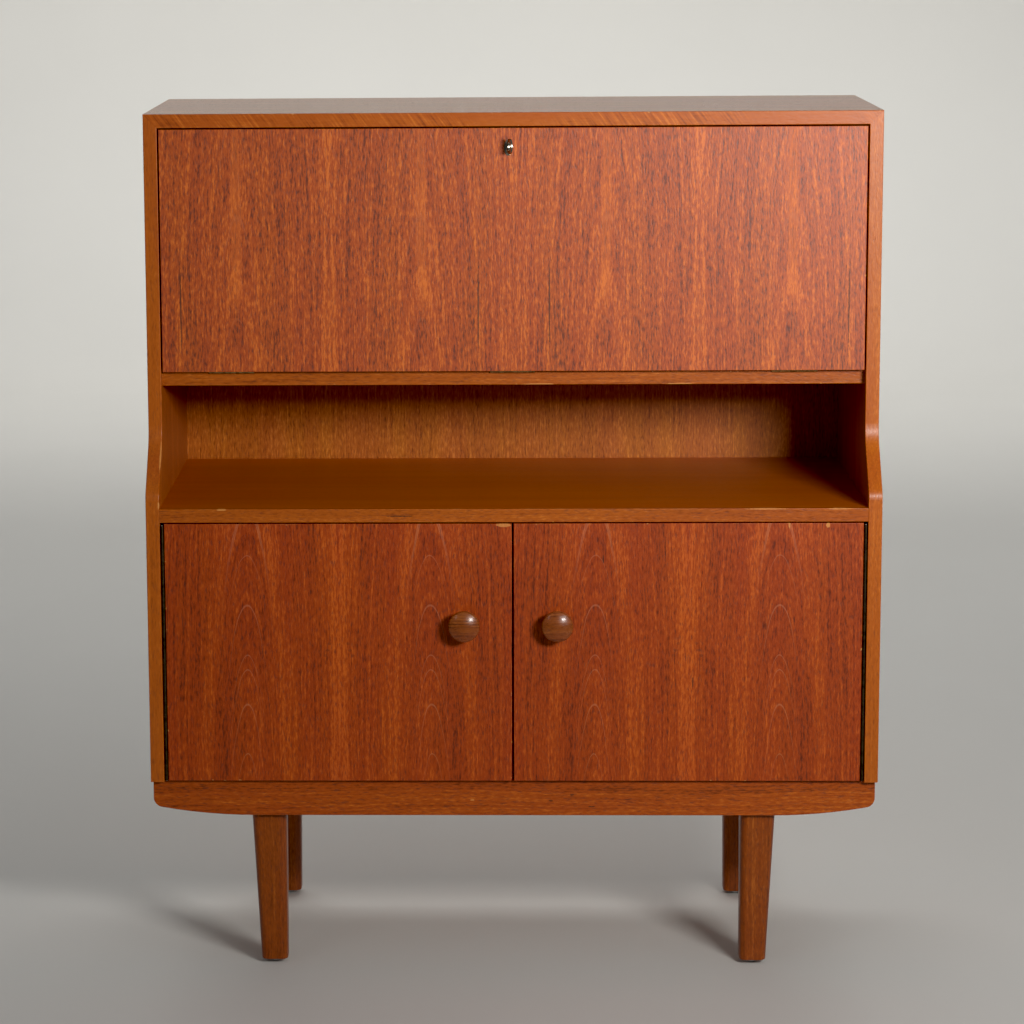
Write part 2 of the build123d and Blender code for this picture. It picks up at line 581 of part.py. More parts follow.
def hinge_knuckles(first):
    """Bottom heights and length of every other knuckle of a continuous hinge."""
    pitch = (DOOR_TOP_Z - CASE_BOTTOM_Z - 2 * HINGE_END) / HINGE_KNUCKLES
    start = CASE_BOTTOM_Z + HINGE_END
    return [start + pitch * row for row in range(first, HINGE_KNUCKLES, 2)], pitch - KNUCKLE_GAP


def hinge_leaf(side, leaf_side, first, bore_radius):
    """One leaf of a continuous hinge: plate, knuckles and the tabs between them."""
    axis_x = side * DOOR_AXIS_X
    near = axis_x + leaf_side * (HINGE_OFFSET - HINGE_LEAF)
    far = axis_x + leaf_side * HINGE_OFFSET
    plate_x = tuple(sorted((near, far)))
    heights, length = hinge_knuckles(first)
    clear_depth = DOOR_AXIS_Y + KNUCKLE_RADIUS + KNUCKLE_CLEARANCE
    leaf_z = (CASE_BOTTOM_Z + HINGE_END, DOOR_TOP_Z - HINGE_END)
    block(plate_x, (clear_depth, DOOR_AXIS_Y + HINGE_LEAF_WIDTH), leaf_z)
    for z in heights:
        block(plate_x, (DOOR_AXIS_Y, clear_depth), (z, z + length))
        rod((axis_x, DOOR_AXIS_Y, z), (0, 0, 1), KNUCKLE_RADIUS, length)
    rod((axis_x, DOOR_AXIS_Y, leaf_z[0]), (0, 0, 1), bore_radius, leaf_z[1] - leaf_z[0], mode=Mode.SUBTRACT)


HINGE_PIN_RADIUS = 1.2

for name, side in SIDES.items():
    with BuildPart() as door:
        block(mirrored(side, SEAM_GAP / 2, DOOR_EDGE_X), (DOOR_FRONT, DOOR_BACK), (DOOR_BOTTOM_Z, DOOR_TOP_Z))
        fillet(door.faces().sort_by(Axis.Y)[0].edges(), VENEER_EDGE_BREAK)
        with Locations(knob_screw_place(side)):
            CounterSinkHole(KNOB_SCREW_RADIUS, KNOB_SCREW_HEAD, KNOB_SCREW_LENGTH)
        sink_screws(door_leaf_screws(side))
        sink_screws(catch_plate_screws(side))
    save(door, f"{name}_door")

    with BuildPart() as knob:
        knob_x = KNOB_OFFSETS[side]
        with BuildSketch(Plane((knob_x, DOOR_FRONT, KNOB_Z), x_dir=(1, 0, 0), z_dir=(0, 0, 1))):
            with BuildLine():
                knob_profile()
            make_face()
        revolve(axis=Axis((knob_x, DOOR_FRONT, KNOB_Z), (0, 1, 0)))
        rod((knob_x, DOOR_FRONT, KNOB_Z), (0, -1, 0), KNOB_SCREW_RADIUS, KNOB_SCREW_LENGTH - DOOR_BOARD,
            mode=Mode.SUBTRACT)
    save(knob, f"{name}_knob")

    with BuildPart() as door_leaf:
        hinge_leaf(side, -side, 1, HINGE_PIN_RADIUS + SWIVEL_CLEARANCE)
        sink_screws(door_leaf_screws(side))
    save(door_leaf, f"{name}_hinge_leaf")

    with BuildPart() as catch_plate:
        block(mirrored(side, CATCH_X - CATCH_PLATE_HALF, CATCH_X + CATCH_PLATE_HALF),
              (DOOR_BACK, DOOR_BACK + CATCH_PLATE),
              (DOOR_TOP_Z - CATCH_PLATE_DROP[1], DOOR_TOP_Z - CATCH_PLATE_DROP[0]))
        fillet(catch_plate.edges().filter_by(Axis.Y), CATCH_PLATE_CORNER)
        sink_screws(catch_plate_screws(side))
    save(catch_plate, f"{name}_catch_plate")

    with BuildPart() as door_screws:
        drive_screws(door_leaf_screws(side))
        drive_screws(catch_plate_screws(side))
        with Locations(knob_screw_place(side)):
            Cylinder(KNOB_SCREW_RADIUS, KNOB_SCREW_LENGTH, align=TOP)
            Cone(0, KNOB_SCREW_HEAD, KNOB_SCREW_HEAD / math.tan(math.radians(HALF_SINK_ANGLE)), align=TOP)
    save(door_screws, f"{name}_door_screws")

with BuildPart() as door_hinge_case_leaves:
    for side in SIDES.values():
        hinge_leaf(side, side, 0, HINGE_PIN_RADIUS)
        sink_screws(case_leaf_screws(side))
save(door_hinge_case_leaves, "door_hinge_case_leaves")

with BuildPart() as door_hinge_pins:
    for side in SIDES.values():
        rod((side * DOOR_AXIS_X, DOOR_AXIS_Y, CASE_BOTTOM_Z + HINGE_PIN_END), (0, 0, 1), HINGE_PIN_RADIUS,
            DOOR_TOP_Z - CASE_BOTTOM_Z - 2 * HINGE_PIN_END)
save(door_hinge_pins, "door_hinge_pins")

with BuildPart() as door_catches:
    catch_front = DOOR_BACK + CATCH_PLATE + CATCH_CLEARANCE
    for side in SIDES.values():
        block(mirrored(side, CATCH_X - CATCH_HALF, CATCH_X + CATCH_HALF),
              (catch_front, catch_front + CATCH_DEPTH), (CABINET_TOP_Z - CATCH_HEIGHT, CABINET_TOP_Z))
    fillet(door_catches.edges().filter_by(Axis.Y).group_by(Axis.Z)[0], CATCH_CORNER)
save(door_catches, "door_catches")

# ---- fall flap, its hinges and lock -------------------------------------------------------------
with BuildPart() as flap:
    block((FLAP_GAP - INNER_X, INNER_X - FLAP_GAP), (UPPER_FRONT, FLAP_INNER), (FLAP_BOTTOM_Z, FLAP_TOP_Z))
    fillet(flap.faces().sort_by(Axis.Y)[0].edges(), VENEER_EDGE_BREAK)
    block(*LOCK_BODY, mode=Mode.SUBTRACT)
    rod((LOCK_X, UPPER_FRONT, LOCK_Z), (0, 1, 0), KEYHOLE_RADIUS, FLAP_BOARD, mode=Mode.SUBTRACT)
    block(KEYHOLE_X, (UPPER_FRONT, FLAP_INNER), (LOCK_Z - KEYHOLE_DROP, LOCK_Z), mode=Mode.SUBTRACT)
    with BuildSketch(ESCUTCHEON_PLACE):
        Ellipse(*ESCUTCHEON_RADII)
    extrude(amount=-ESCUTCHEON_SUNK, mode=Mode.SUBTRACT)
    for x in FLAP_HINGES_X:
        block(flap_hinge_width(x), (FLAP_INNER - HINGE_LEAF, FLAP_INNER),
              (FLAP_BOTTOM_Z, WRITING_Z + FLAP_HINGE_WIDTH), mode=Mode.SUBTRACT)
        half_room = FLAP_HINGE_LENGTH / 2 + KNUCKLE_CLEARANCE
        rod((x - half_room, FLAP_INNER, WRITING_Z), (1, 0, 0), FLAP_KNUCKLE_ROOM, 2 * half_room,
            mode=Mode.SUBTRACT)
    sink_screws(FLAP_LEAF_SCREWS)
    for side in SIDES.values():
        sink_screws(bracket_screws(side))
    sink_screws(LOCK_SCREWS)
save(flap, "flap")

KNUCKLE_LENGTH = FLAP_HINGE_LENGTH / 3


def knuckle_range(x, row):
    """The x range of one of a flap hinge's three knuckles."""
    start = x - FLAP_HINGE_LENGTH / 2 + row * KNUCKLE_LENGTH
    return start + FLAP_KNUCKLE_GAP / 2, start + KNUCKLE_LENGTH - FLAP_KNUCKLE_GAP / 2


with BuildPart() as flap_hinge_case_leaves:
    for x in FLAP_HINGES_X:
        plate_z = (WRITING_Z - HINGE_LEAF, WRITING_Z)
        block(flap_hinge_width(x), (FLAP_INNER + FLAP_KNUCKLE_ROOM, FLAP_INNER + FLAP_HINGE_WIDTH), plate_z)
        for row in (0, 2):
            low, high = knuckle_range(x, row)
            block((low, high), (FLAP_INNER, FLAP_INNER + FLAP_KNUCKLE_ROOM), plate_z)
            rod((low, FLAP_INNER, WRITING_Z), (1, 0, 0), FLAP_KNUCKLE_RADIUS, high - low)
        rod((x - FLAP_HINGE_LENGTH / 2, FLAP_INNER, WRITING_Z), (1, 0, 0), FLAP_PIN_RADIUS, FLAP_HINGE_LENGTH,
            mode=Mode.SUBTRACT)
    sink_screws(FLOOR_LEAF_SCREWS)
save(flap_hinge_case_leaves, "flap_hinge_case_leaves")

with BuildPart() as flap_hinge_leaves:
    for x in FLAP_HINGES_X:
        plate_y = (FLAP_INNER - HINGE_LEAF, FLAP_INNER)
        block(flap_hinge_width(x), plate_y, (WRITING_Z + FLAP_KNUCKLE_ROOM, WRITING_Z + FLAP_HINGE_WIDTH))
        low, high = knuckle_range(x, 1)
        block((low, high), plate_y, (WRITING_Z, WRITING_Z + FLAP_KNUCKLE_ROOM))
        rod((low, FLAP_INNER, WRITING_Z), (1, 0, 0), FLAP_KNUCKLE_RADIUS, high - low)
        rod((x - FLAP_HINGE_LENGTH / 2, FLAP_INNER, WRITING_Z), (1, 0, 0), FLAP_PIN_RADIUS + SWIVEL_CLEARANCE,
            FLAP_HINGE_LENGTH, mode=Mode.SUBTRACT)
    sink_screws(FLAP_LEAF_SCREWS)
save(flap_hinge_leaves, "flap_hinge_leaves")

with BuildPart() as flap_hinge_pins:
    for x in FLAP_HINGES_X:
        pin_length = FLAP_HINGE_LENGTH - FLAP_KNUCKLE_GAP
        rod((x - pin_length / 2, FLAP_INNER, WRITING_Z), (1, 0, 0), FLAP_PIN_RADIUS, pin_length)
save(flap_hinge_pins, "flap_hinge_pins")

LOCK_FACE = UPPER_FRONT + LOCK_RECESS
LOCK_FACE_PLATE = 1.0
LOCK_CAVITY = 3.5
BIT_HEIGHT = 7.0
BIT_HALF = 1.2
BIT_Y = (LOCK_FACE + 1.4, LOCK_FACE + 4.0)
BIT_CLEARANCE = 1.5
KEY_SHANK_RADIUS = 2.6
KEY_REACH = 8.0            # of the shank in front of the flap
KEY_LENGTH = 18.0
KEY_COLLAR_RADIUS = 3.8
KEY_COLLAR = 2.0

with BuildPart() as lock_body:
    block(*LOCK_BODY)
    rod((LOCK_X, LOCK_FACE, LOCK_Z), (0, 1, 0), KEY_SHANK_RADIUS + BOLT_CLEARANCE,
        LOCK_FACE_PLATE + LOCK_CAVITY, mode=Mode.SUBTRACT)
    block(KEYHOLE_X, (LOCK_FACE, LOCK_FACE + LOCK_FACE_PLATE), (LOCK_Z - KEYHOLE_DROP, LOCK_Z),
          mode=Mode.SUBTRACT)
    rod((LOCK_X, LOCK_FACE + LOCK_FACE_PLATE, LOCK_Z), (0, 1, 0), BIT_HEIGHT + BIT_CLEARANCE, LOCK_CAVITY,
        mode=Mode.SUBTRACT)
    block((LOCK_X - BOLT_HALF - BOLT_CLEARANCE, LOCK_X + BOLT_HALF + BOLT_CLEARANCE),
          (BOLT_Y[0] - BOLT_CLEARANCE, BOLT_Y[1] + BOLT_CLEARANCE),
          (BOLT_BOTTOM_Z - BOLT_CLEARANCE, FLAP_TOP_Z), mode=Mode.SUBTRACT)
    sink_screws(LOCK_SCREWS)
save(lock_body, "lock_body")

with BuildPart() as lock_bolt:
    block((LOCK_X - BOLT_HALF, LOCK_X + BOLT_HALF), BOLT_Y, (BOLT_BOTTOM_Z, FLAP_TOP_Z - BOLT_TRAVEL_ROOM))
    fillet(lock_bolt.edges().filter_by(Axis.Y).group_by(Axis.Z)[-1], BOLT_CORNER)
save(lock_bolt, "lock_bolt")

BOW_TURN = 16.0            # the bow's plane is turned this far from the shank's own direction
BOW_RADII = (9.0, 10.0)
BOW_HOLE_RADII = (5.6, 6.6)
BOW_OVERLAP = 1.5          # of the bow onto the shank's end
BOW_HALF_THICKNESS = 1.2

with BuildPart() as key:
    shank_end = UPPER_FRONT - KEY_REACH
    rod((LOCK_X, shank_end, LOCK_Z), (0, 1, 0), KEY_SHANK_RADIUS, KEY_LENGTH)
    block((LOCK_X - BIT_HALF, LOCK_X + BIT_HALF), BIT_Y, (LOCK_Z - BIT_HEIGHT, LOCK_Z))
    rod((LOCK_X, shank_end, LOCK_Z), (0, 1, 0), KEY_COLLAR_RADIUS, KEY_COLLAR)
    turn = math.radians(BOW_TURN)
    bow_direction = (math.sin(turn), -math.cos(turn), 0)
    bow_reach = BOW_RADII[0] - BOW_OVERLAP
    bow_plane = Plane(
        (LOCK_X + bow_reach * bow_direction[0], shank_end + bow_reach * bow_direction[1], LOCK_Z),
        x_dir=bow_direction, z_dir=(math.cos(turn), math.sin(turn), 0),
    )
    with BuildSketch(bow_plane):
        Ellipse(*BOW_RADII)
        Ellipse(*BOW_HOLE_RADII, mode=Mode.SUBTRACT)
    extrude(amount=BOW_HALF_THICKNESS, both=True)
save(key, "key")

with BuildPart() as keyhole_escutcheon:
    with BuildSketch(ESCUTCHEON_PLACE):
        Ellipse(*ESCUTCHEON_RADII)
        with Locations((0, ESCUTCHEON_DROP)):
            Circle(KEYHOLE_RADIUS, mode=Mode.SUBTRACT)
        with Locations((0, ESCUTCHEON_DROP - KEYHOLE_DROP / 2)):
            Rectangle(2 * KEYHOLE_HALF, KEYHOLE_DROP, mode=Mode.SUBTRACT)
    extrude(amount=-ESCUTCHEON_SUNK)
    extrude(keyhole_escutcheon.faces().sort_by(Axis.Y)[0], amount=ESCUTCHEON_PROUD)
save(keyhole_escutcheon, "keyhole_escutcheon")

with BuildPart() as strike_plate:
    plate_z = (CEILING_Z, CEILING_Z + STRIKE_PLATE)
    block(LOCK_WIDTH, STRIKE_Y, plate_z)
    block((LOCK_X - STRIKE_SLOT_HALF, LOCK_X + STRIKE_SLOT_HALF),
          (BOLT_Y[0] - STRIKE_SLOT_CLEARANCE, BOLT_Y[1] + STRIKE_SLOT_CLEARANCE), plate_z, mode=Mode.SUBTRACT)
    sink_screws(STRIKE_SCREWS)
save(strike_plate, "strike_plate")

# ---- stays: a rod pivoted on the flap slides through a block that swivels on the case side --------
# Both pivots lie on one circle about the flap's hinge line, so the rod always turns half as far as the flap.
CHORD_OPEN = 2 * STAY_RADIUS * math.sin(math.radians(STAY_PIVOT_ANGLE - STAY_FLAP_ANGLE + 90) / 2)
CLOSED_SLOPE = math.radians((STAY_FLAP_ANGLE + STAY_PIVOT_ANGLE) / 2 - 90)
ROD_DIRECTION = (0, math.cos(CLOSED_SLOPE), -math.sin(CLOSED_SLOPE))
GUIDE_LENGTH = 16.0
GUIDE_CORNER = 2.0
GUIDE_BORE_CLEARANCE = 0.35
TRUNNION_RADIUS = 3.0
TRUNNION_SUNK = 1.0            # into the guide, so that the two are one piece
TRUNNION_END_GAP = 0.4
EYE_HALF = 2.0
EYE_RADIUS = 6.0
EYE_PIN_RADIUS = 2.0
EYE_CUT = 3.0                  # how far the rod is cut away beside its flat eye
EYE_CUT_MARGIN = 1.2
EYE_GAP = 0.4
STOP_RADIUS = 5.0
STOP_LENGTH = 6.0
STOP_OVERLAP = 0.5             # of the stop onto the rod's end
EAR = 2.4
EAR_HALF_HEIGHT = 6.0
PIN_HEAD_RADIUS = 3.5
PIN_HEAD = 1.4

for name, side in SIDES.items():
    flap_pivot = (side * STAY_X, *STAY_FLAP_PIVOT)
    case_pivot = (side * STAY_X, *STAY_CASE_PIVOT)
    with BuildPart() as stay_arm:
        rod(flap_pivot, ROD_DIRECTION, ROD_RADIUS, CHORD_OPEN + GUIDE_LENGTH / 2 + 2 * STOP_OVERLAP)
        rod((flap_pivot[0] - EYE_HALF, *flap_pivot[1:]), (1, 0, 0), EYE_RADIUS, 2 * EYE_HALF)
        for face_x in (EYE_HALF, -EYE_HALF - EYE_CUT):
            rod((flap_pivot[0] + face_x, *flap_pivot[1:]), (1, 0, 0), EYE_RADIUS + EYE_CUT_MARGIN, EYE_CUT,
                mode=Mode.SUBTRACT)
        rod((flap_pivot[0] - EYE_HALF, *flap_pivot[1:]), (1, 0, 0), EYE_PIN_RADIUS + SWIVEL_CLEARANCE,
            2 * EYE_HALF, mode=Mode.SUBTRACT)
        stop_reach = CHORD_OPEN + GUIDE_LENGTH / 2 + STOP_OVERLAP
        stop_start = [start + step * stop_reach for start, step in zip(flap_pivot, ROD_DIRECTION)]
        rod(stop_start, ROD_DIRECTION, STOP_RADIUS, STOP_LENGTH)
    save(stay_arm, f"{name}_stay_arm")

    with BuildPart() as stay_guide:
        with Locations(Plane(case_pivot, x_dir=(1, 0, 0), z_dir=ROD_DIRECTION)):
            Box(2 * GUIDE_HALF, 2 * GUIDE_HALF, GUIDE_LENGTH)
        fillet(stay_guide.edges().filter_by(Axis.X), GUIDE_CORNER)
        trunnion_start = STAY_X + GUIDE_HALF - TRUNNION_SUNK
        rod((side * trunnion_start, *STAY_CASE_PIVOT), (side, 0, 0), TRUNNION_RADIUS,
            INNER_X - TRUNNION_END_GAP - trunnion_start)
        channel_start = [start - step * GUIDE_LENGTH for start, step in zip(case_pivot, ROD_DIRECTION)]
        rod(channel_start, ROD_DIRECTION, ROD_RADIUS + GUIDE_BORE_CLEARANCE, 2 * GUIDE_LENGTH,
            mode=Mode.SUBTRACT)
    save(stay_guide, f"{name}_stay_guide")

with BuildPart() as stay_pivot_plates:
    for side in SIDES.values():
        rod((side * INNER_X, *STAY_CASE_PIVOT), (-side, 0, 0), PIVOT_PLATE_RADIUS, PIVOT_PLATE)
        rod((side * INNER_X, *STAY_CASE_PIVOT), (-side, 0, 0), TRUNNION_RADIUS + SWIVEL_CLEARANCE,
            PIVOT_PLATE, mode=Mode.SUBTRACT)
        sink_screws(pivot_plate_screws(side))
save(stay_pivot_plates, "stay_pivot_plates")

with BuildPart() as stay_brackets:
    for side in SIDES.values():
        depth, height = STAY_FLAP_PIVOT
        ear_far = STAY_X - EYE_HALF - EYE_GAP
        block(mirrored(side, STAY_X - BRACKET_WIDTH, ear_far), (FLAP_INNER, FLAP_INNER + BRACKET_PLATE),
              (height - BRACKET_HALF_HEIGHT, height + BRACKET_HALF_HEIGHT))
        block(mirrored(side, ear_far - EAR, ear_far), (FLAP_INNER, depth),
              (height - EAR_HALF_HEIGHT, height + EAR_HALF_HEIGHT))
        rod((side * (ear_far - EAR), depth, height), (side, 0, 0), EYE_RADIUS, EAR)
        rod((side * (ear_far - EAR), depth, height), (side, 0, 0), EYE_PIN_RADIUS,
            EAR + 2 * (EYE_HALF + EYE_GAP))
        rod((side * (STAY_X + EYE_HALF + EYE_GAP), depth, height), (side, 0, 0), PIN_HEAD_RADIUS, PIN_HEAD)
        sink_screws(bracket_screws(side))
save(stay_brackets, "stay_brackets")

with BuildPart() as case_screws:
    for side in SIDES.values():
        drive_screws(case_leaf_screws(side))
        drive_screws(pivot_plate_screws(side))
    drive_screws(FLOOR_LEAF_SCREWS)
    drive_screws(STRIKE_SCREWS)
save(case_screws, "case_screws")

with BuildPart() as flap_screws:
    drive_screws(FLAP_LEAF_SCREWS)
    for side in SIDES.values():
        drive_screws(bracket_screws(side))
    drive_screws(LOCK_SCREWS)
save(flap_screws, "flap_screws")

# ---- pigeonhole fitment and its two small drawers -----------------------------------------------
FITMENT_BOARD = 9.0
FITMENT_HALF = 442.0
FITMENT_DEPTH = 180.0
FITMENT_HEIGHT = 210.0
BAY_X = 145.0              # middle of the inner uprights
DRAWER_BAY = 66.0          # clear height below the shelves
DRAWER_GAP = 0.8
DRAWER_WALL = 7.0
DRAWER_WALL_DROP = 6.0     # of the drawer's walls below the front's top edge
DRAWER_BOTTOM = 4.0
DRAWER_BACK_GAP = 5.0
FINGER_NOTCH_RADIUS = 12.0
GLUE_LINE = 0.1            # between the boards of one drawer, so that each stays its own solid
FITMENT_FRONT = BACK_INNER - FITMENT_DEPTH
UPRIGHTS_X = [side * x for side in (-1, 1) for x in (FITMENT_HALF - FITMENT_BOARD / 2, BAY_X)]
MID_SHELF_Z = WRITING_Z + DRAWER_BAY

with BuildPart() as fitment_uprights:
    for x in UPRIGHTS_X:
        block((x - FITMENT_BOARD / 2, x + FITMENT_BOARD / 2), (FITMENT_FRONT, BACK_INNER),
              (WRITING_Z, WRITING_Z + FITMENT_HEIGHT))
save(fitment_uprights, "fitment_uprights")

BAY_RANGES = [
    (-FITMENT_HALF + FITMENT_BOARD, -BAY_X - FITMENT_BOARD / 2),
    (-BAY_X + FITMENT_BOARD / 2, BAY_X - FITMENT_BOARD / 2),
    (BAY_X + FITMENT_BOARD / 2, FITMENT_HALF - FITMENT_BOARD),
]

with BuildPart() as fitment_boards:
    block((-FITMENT_HALF, FITMENT_HALF), (FITMENT_FRONT, BACK_INNER),
          (WRITING_Z + FITMENT_HEIGHT, WRITING_Z + FITMENT_HEIGHT + FITMENT_BOARD))
    for bay in BAY_RANGES:
        block(bay, (FITMENT_FRONT, BACK_INNER), (MID_SHELF_Z, MID_SHELF_Z + FITMENT_BOARD))
save(fitment_boards, "fitment_boards")

for name, bay in {"left": BAY_RANGES[0], "right": BAY_RANGES[2]}.items():
    drawer_x = (bay[0] + DRAWER_GAP, bay[1] - DRAWER_GAP)
    drawer_z = (WRITING_Z + DRAWER_GAP / 2, MID_SHELF_Z - DRAWER_GAP)
    box_y = (FITMENT_FRONT + FITMENT_BOARD, BACK_INNER - DRAWER_BACK_GAP)
    with BuildPart() as drawer_front:
        block(drawer_x, (FITMENT_FRONT, FITMENT_FRONT + FITMENT_BOARD), drawer_z)
        rod((sum(bay) / 2, FITMENT_FRONT, drawer_z[1]), (0, 1, 0), FINGER_NOTCH_RADIUS, FITMENT_BOARD,
            mode=Mode.SUBTRACT)
        fillet(drawer_front.faces().sort_by(Axis.Y)[0].edges(), VENEER_EDGE_BREAK)
    save(drawer_front, f"{name}_drawer_front")

    with BuildPart() as drawer_box:
        wall_z = (drawer_z[0], drawer_z[1] - DRAWER_WALL_DROP)
        inner_x = (drawer_x[0] + DRAWER_WALL, drawer_x[1] - DRAWER_WALL)
        loose_x = (inner_x[0] + GLUE_LINE, inner_x[1] - GLUE_LINE)
        block((drawer_x[0], inner_x[0]), box_y, wall_z)
        block((inner_x[1], drawer_x[1]), box_y, wall_z)
        block(loose_x, (box_y[1] - DRAWER_WALL, box_y[1]),
              (drawer_z[0] + DRAWER_BOTTOM + GLUE_LINE, wall_z[1]))
        block(loose_x, box_y, (drawer_z[0], drawer_z[0] + DRAWER_BOTTOM))
    save(drawer_box, f"{name}_drawer_box")
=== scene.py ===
import json
import math

import bpy
from mathutils import Matrix, Vector


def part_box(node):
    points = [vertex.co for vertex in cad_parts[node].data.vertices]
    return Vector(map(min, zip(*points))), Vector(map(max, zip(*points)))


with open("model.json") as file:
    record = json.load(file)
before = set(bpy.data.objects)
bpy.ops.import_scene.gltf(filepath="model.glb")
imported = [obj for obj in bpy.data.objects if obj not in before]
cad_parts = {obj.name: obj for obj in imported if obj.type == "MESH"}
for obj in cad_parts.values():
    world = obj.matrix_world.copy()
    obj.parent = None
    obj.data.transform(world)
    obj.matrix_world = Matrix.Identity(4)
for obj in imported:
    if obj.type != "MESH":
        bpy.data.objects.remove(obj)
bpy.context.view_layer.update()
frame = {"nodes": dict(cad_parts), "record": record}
NODES = frame["nodes"]

# ---------------------------------------------------------------- colours
# Reflectances, linear red, green and blue. A wood has a dark, a middle and a light tone.
FLAP_TEAK = ((0.100, 0.020, 0.008), (0.375, 0.062, 0.006), (0.640, 0.148, 0.014))
DOOR_TEAK = ((0.095, 0.014, 0.004), (0.310, 0.043, 0.004), (0.520, 0.100, 0.010))
CASE_TEAK = ((0.150, 0.033, 0.006), (0.340, 0.082, 0.012), (0.540, 0.160, 0.028))
# The top panel's tones are paler and greyer than the other teaks: they mix the wood's colour with a
# painted sheen, the reflection of the pale wall at a glancing angle.
TOP_TEAK_AND_PAINTED_SHEEN = ((0.260, 0.090, 0.036), (0.460, 0.180, 0.080), (0.680, 0.290, 0.140))
LIPPING_TEAK = ((0.200, 0.040, 0.004), (0.395, 0.088, 0.007), (0.590, 0.165, 0.018))
LIP_TEAK = ((0.190, 0.038, 0.004), (0.360, 0.080, 0.007), (0.540, 0.150, 0.018))
NICHE_TEAK = ((0.150, 0.034, 0.004), (0.380, 0.100, 0.009), (0.620, 0.200, 0.026))
SHELF_TEAK = ((0.260, 0.058, 0.005), (0.480, 0.110, 0.009), (0.640, 0.170, 0.016))
RAIL_TEAK = ((0.120, 0.020, 0.002), (0.340, 0.060, 0.005), (0.540, 0.130, 0.013))
LEG_TEAK = ((0.090, 0.018, 0.003), (0.240, 0.050, 0.006), (0.400, 0.105, 0.014))
KNOB_TEAK = ((0.070, 0.014, 0.003), (0.210, 0.050, 0.009), (0.360, 0.110, 0.024))
PALE_WOOD = ((0.330, 0.170, 0.070), (0.520, 0.320, 0.150), (0.660, 0.450, 0.250))
WORN = (0.620, 0.260, 0.070)
CHIP = (0.620, 0.250, 0.060)
PALE_LINE = (0.520, 0.190, 0.085)
STAIN = (0.030, 0.010, 0.004)
PORE = (0.085, 0.024, 0.017)

# ---------------------------------------------------------------- veneer
LEAF = 0.2415  # width of one leaf of the book-matched veneer
HEART = 0.1205  # middle of a leaf, where its cathedral figure stands
FLAP_SEAM = 0.002
DOOR_MIDDLE = 0.2285
CASE_FOLD = 0.04  # where the veneer of the case boards is folded, and of the back panel
NICHE_FOLD = 0.03
INNER_EDGE = 0.463  # inner edge of the side lippings
FLOOR_LIP_CHIP, SHELF_LIP_CHIP = 0.7806, 0.6262  # heights of the chips on the two lippings

# Features per metre of a wood's noises: across the grain, along it, and into the board.
WANDER, QUIVER = (9.0, 2.6, 9.0), (60.0, 16.0, 60.0)
FINE_STREAKS, LONG_STREAKS = (470.0, 112.0, 470.0), (330.0, 9.0, 330.0)
TONE_CLOUDS, HUE_CLOUDS = (14.0, 2.2, 14.0), (34.0, 1.8, 34.0)
RIBBON_CURL, RIBBON_PATCHES = (28.0, 300.0, 28.0), (9.0, 5.0, 9.0)
OPEN_PORES = (640.0, 110.0, 640.0)
RAGGED_RIMS, CHIPPING, RUBBING = (300.0,) * 3, (150.0,) * 3, (38.0,) * 3
RINGS, BANDS, CRESTS = 260.0, 38.0, 150.0

# How far the grain wanders, in metres, and how strongly each figure moves the tone.
WANDER_WIDTH, QUIVER_WIDTH = 0.022, 0.0026
RING_TONE, BAND_TONE, FINE_TONE, LONG_TONE = 1.1, 0.9, 1.7, 1.1
ARCH_START = 0.012  # how far out the innermost arch closes
RING_SLANT = 0.35  # how fast the rings move with the depth in the board
RIBBON_LEAN = 0.75

# How far wear reaches from an edge, in metres, and how it changes the surface.
RUB_REACH, CHIP_REACH = 0.0014, 0.0026
RUB_STRENGTH, WORN_ROUGHNESS, SPOT_ROUGHNESS, CHIP_DEPTH = 0.3, 0.2, 0.12, 2.0
FINE_ROUGHNESS = 0.16
HUE_STRENGTH = 0.8
REDDER, YELLOWER = (0.94, 0.88, 1.05), (1.04, 1.10, 0.90)
COAT_ROUGHNESS = 0.12
ALONG_SCRATCHES, ACROSS_SCRATCHES = 40.0, 900.0  # features per metre of brushed metal
WOOD_RELIEF, WOOD_BUMP = 0.0004, 0.35


